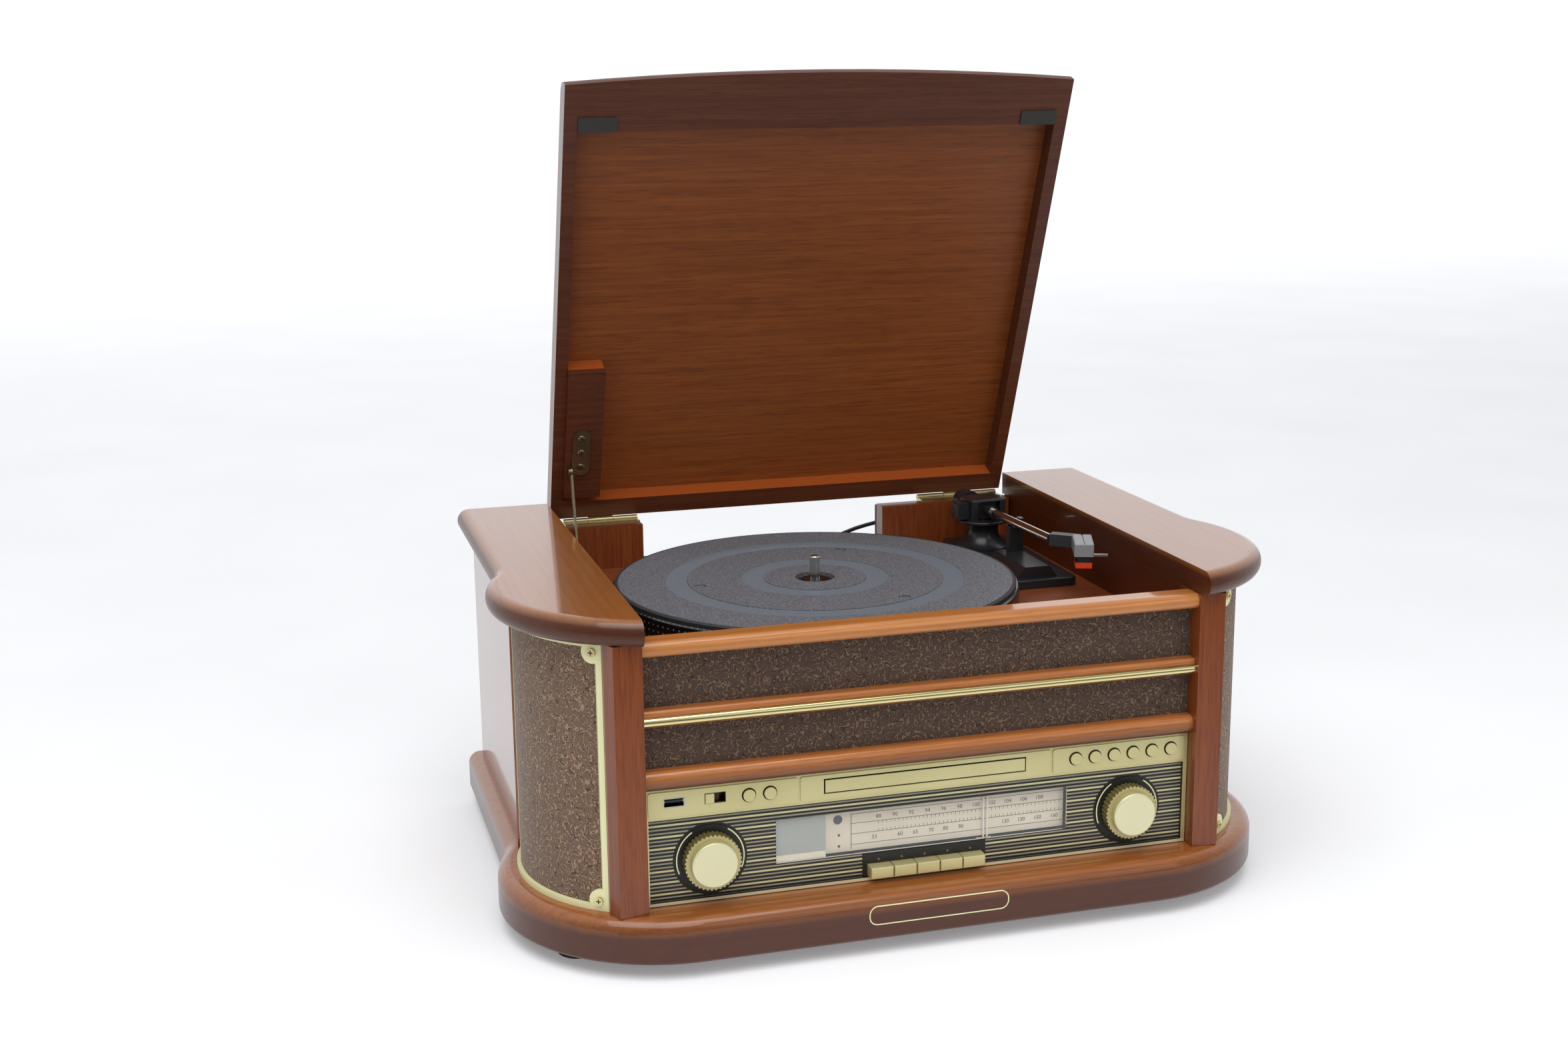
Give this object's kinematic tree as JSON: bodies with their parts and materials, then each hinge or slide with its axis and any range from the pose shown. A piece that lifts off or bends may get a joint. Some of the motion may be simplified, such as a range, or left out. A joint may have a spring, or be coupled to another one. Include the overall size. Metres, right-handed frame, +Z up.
{
  "type": "music center",
  "caption": "Retro wooden music center with a hinged lid over a record player, radio dial, disc drawer, push keys, knobs and curved cloth speaker fronts.",
  "frame": {"origin": "middle of the bounding box at the floor, lid open, mains lead left out", "axes": "+X to the right seen from the front, +Y to the back, +Z up"},
  "size_m": [0.5156, 0.4114, 0.5345],
  "materials": {
    "stained_wood": "satin lacquer",
    "lid_wood": "satin lacquer",
    "dark_board": "matt",
    "speaker_cloth": "woven",
    "black_rubber": "matt",
    "brass": "polished",
    "gold_plastic": "satin",
    "grille_plastic": "satin",
    "black_plastic": "matt",
    "grey_plastic": "satin",
    "dial_card": "matt",
    "pointer_white": "satin",
    "clear_window": "clear",
    "mat_rubber": "matt",
    "platter_metal": "painted",
    "steel": "bright",
    "chrome": "polished",
    "arm_metal": "satin",
    "hinge_steel": "plated"
  },
  "bodies": {
    "cabinet": {"base_plinth": "stained_wood", "rubber_feet": "black_rubber", "side_panels": "stained_wood", "caps": "stained_wood", "posts": "stained_wood", "grille_frames": "grille_plastic", "grille_cloths": "speaker_cloth", "speaker_drivers": "black_plastic", "top_rail": "stained_wood", "front_board": "stained_wood", "brass_rod": "brass", "cloth_bands": "speaker_cloth", "control_bezel": "gold_plastic", "fascia": "black_plastic", "dial_window": "clear_window", "dial_plate": "dial_card", "control_chassis": "black_plastic", "cd_mechanism": "black_plastic", "deck": "dark_board", "spindle": "steel", "chrome_screws": "chrome", "arm_base": "black_plastic", "hinge_blocks": "dark_board", "back_panel": "dark_board", "hinge_leaves": "hinge_steel", "hinge_pins": "steel", "cord_gland": "black_rubber", "power_cord": "black_rubber", "cord_coil": "black_rubber", "coil_tie": "black_plastic", "plug": "black_rubber"},
    "lid": {"lid": "lid_wood", "lid_leaves": "hinge_steel", "stay_bracket": "steel"},
    "lid_stay": {"stay_arm": "steel"},
    "turntable": {"platter": "platter_metal", "platter_mat": "mat_rubber"},
    "arm_turret": {"arm_pivot": "black_plastic"},
    "record_arm": {"tonearm": "arm_metal", "headshell": "grey_plastic", "cartridge": "grey_plastic"},
    "cue": {"cue_lever": "chrome"},
    "volume": {"volume_knob": "gold_plastic"},
    "tuning": {"tuning_knob": "gold_plastic"},
    "pointer": {"dial_pointer": "pointer_white"},
    "power_slide": {"switch_slider": "black_plastic"},
    "drawer": {"cd_tray": "gold_plastic"},
    "key_body_1": {"key_1": "gold_plastic"},
    "key_body_2": {"key_2": "gold_plastic"},
    "key_body_3": {"key_3": "gold_plastic"},
    "key_body_4": {"key_4": "gold_plastic"},
    "key_body_5": {"key_5": "gold_plastic"},
    "button_body_1": {"button_1": "gold_plastic"},
    "button_body_2": {"button_2": "gold_plastic"},
    "button_body_3": {"button_3": "gold_plastic"},
    "button_body_4": {"button_4": "gold_plastic"},
    "button_body_5": {"button_5": "gold_plastic"},
    "button_body_6": {"button_6": "gold_plastic"},
    "button_body_7": {"button_7": "gold_plastic"},
    "button_body_8": {"button_8": "gold_plastic"}
  },
  "joints": [
    {"name": "lid_hinge", "type": "hinge", "parent": "cabinet", "child": "lid", "pos_m": [0, 0.16777, 0.2086], "axis": [1, 0, 0], "range_deg": [0, 67.9]},
    {"name": "stay_pivot", "type": "hinge", "parent": "lid", "child": "lid_stay", "pos_m": [-0.165, 0.14174, 0.25145], "axis": [1, 0, 0], "range_deg": [-34, 0]},
    {"name": "platter_spin", "type": "hinge", "parent": "cabinet", "child": "turntable", "pos_m": [-0.0272, -0.00923, 0.1983], "axis": [0, 0, 1], "continuous": true},
    {"name": "arm_swing", "type": "hinge", "parent": "cabinet", "child": "arm_turret", "pos_m": [0.138, 0.09977, 0.2016], "axis": [0, 0, 1], "range_deg": [-58, 0]},
    {"name": "arm_lift", "type": "hinge", "parent": "arm_turret", "child": "record_arm", "pos_m": [0.138, 0.09977, 0.212], "axis": [-0.9977, -0.068, 0], "range_deg": [0, 1.7]},
    {"name": "cue_lever_tilt", "type": "hinge", "parent": "cabinet", "child": "cue", "pos_m": [0.158, 0.08377, 0.187], "axis": [1, 0, 0], "range_deg": [0, 45]},
    {"name": "volume_turn", "type": "hinge", "parent": "cabinet", "child": "volume", "pos_m": [-0.1387, -0.16623, 0.065], "axis": [0, 1, 0], "range_deg": [-150, 150]},
    {"name": "tuning_turn", "type": "hinge", "parent": "cabinet", "child": "tuning", "pos_m": [0.1387, -0.16623, 0.065], "axis": [0, 1, 0], "range_deg": [-178, 88]},
    {"name": "pointer_slide", "type": "slide", "parent": "cabinet", "child": "pointer", "axis": [1, 0, 0], "range_m": [-0.1, 0.05]},
    {"name": "power_slide_move", "type": "slide", "parent": "cabinet", "child": "power_slide", "axis": [1, 0, 0], "range_m": [0, 0.0066]},
    {"name": "drawer_slide", "type": "slide", "parent": "cabinet", "child": "drawer", "axis": [0, -1, 0], "range_m": [0, 0.13]},
    {"name": "key_press_1", "type": "slide", "parent": "cabinet", "child": "key_body_1", "axis": [0, 1, 0], "range_m": [0, 0.0025], "stiffness_N_per_m": 400, "springref_m": -0.001},
    {"name": "key_press_2", "type": "slide", "parent": "cabinet", "child": "key_body_2", "axis": [0, 1, 0], "range_m": [0, 0.0025], "stiffness_N_per_m": 400, "springref_m": -0.001},
    {"name": "key_press_3", "type": "slide", "parent": "cabinet", "child": "key_body_3", "axis": [0, 1, 0], "range_m": [0, 0.0025], "stiffness_N_per_m": 400, "springref_m": -0.001},
    {"name": "key_press_4", "type": "slide", "parent": "cabinet", "child": "key_body_4", "axis": [0, 1, 0], "range_m": [0, 0.0025], "stiffness_N_per_m": 400, "springref_m": -0.001},
    {"name": "key_press_5", "type": "slide", "parent": "cabinet", "child": "key_body_5", "axis": [0, 1, 0], "range_m": [0, 0.0025], "stiffness_N_per_m": 400, "springref_m": -0.001},
    {"name": "button_press_1", "type": "slide", "parent": "cabinet", "child": "button_body_1", "axis": [0, 1, 0], "range_m": [0, 0.0012], "stiffness_N_per_m": 400, "springref_m": -0.001},
    {"name": "button_press_2", "type": "slide", "parent": "cabinet", "child": "button_body_2", "axis": [0, 1, 0], "range_m": [0, 0.0012], "stiffness_N_per_m": 400, "springref_m": -0.001},
    {"name": "button_press_3", "type": "slide", "parent": "cabinet", "child": "button_body_3", "axis": [0, 1, 0], "range_m": [0, 0.0012], "stiffness_N_per_m": 400, "springref_m": -0.001},
    {"name": "button_press_4", "type": "slide", "parent": "cabinet", "child": "button_body_4", "axis": [0, 1, 0], "range_m": [0, 0.0012], "stiffness_N_per_m": 400, "springref_m": -0.001},
    {"name": "button_press_5", "type": "slide", "parent": "cabinet", "child": "button_body_5", "axis": [0, 1, 0], "range_m": [0, 0.0012], "stiffness_N_per_m": 400, "springref_m": -0.001},
    {"name": "button_press_6", "type": "slide", "parent": "cabinet", "child": "button_body_6", "axis": [0, 1, 0], "range_m": [0, 0.0012], "stiffness_N_per_m": 400, "springref_m": -0.001},
    {"name": "button_press_7", "type": "slide", "parent": "cabinet", "child": "button_body_7", "axis": [0, 1, 0], "range_m": [0, 0.0012], "stiffness_N_per_m": 400, "springref_m": -0.001},
    {"name": "button_press_8", "type": "slide", "parent": "cabinet", "child": "button_body_8", "axis": [0, 1, 0], "range_m": [0, 0.0012], "stiffness_N_per_m": 400, "springref_m": -0.001}
  ],
  "couplings": [
    {"joint": "stay_pivot", "follows": "lid_hinge", "ratio": -0.497},
    {"joint": "pointer_slide", "follows": "tuning_turn", "m_per_rad": 0.0318}
  ]
}
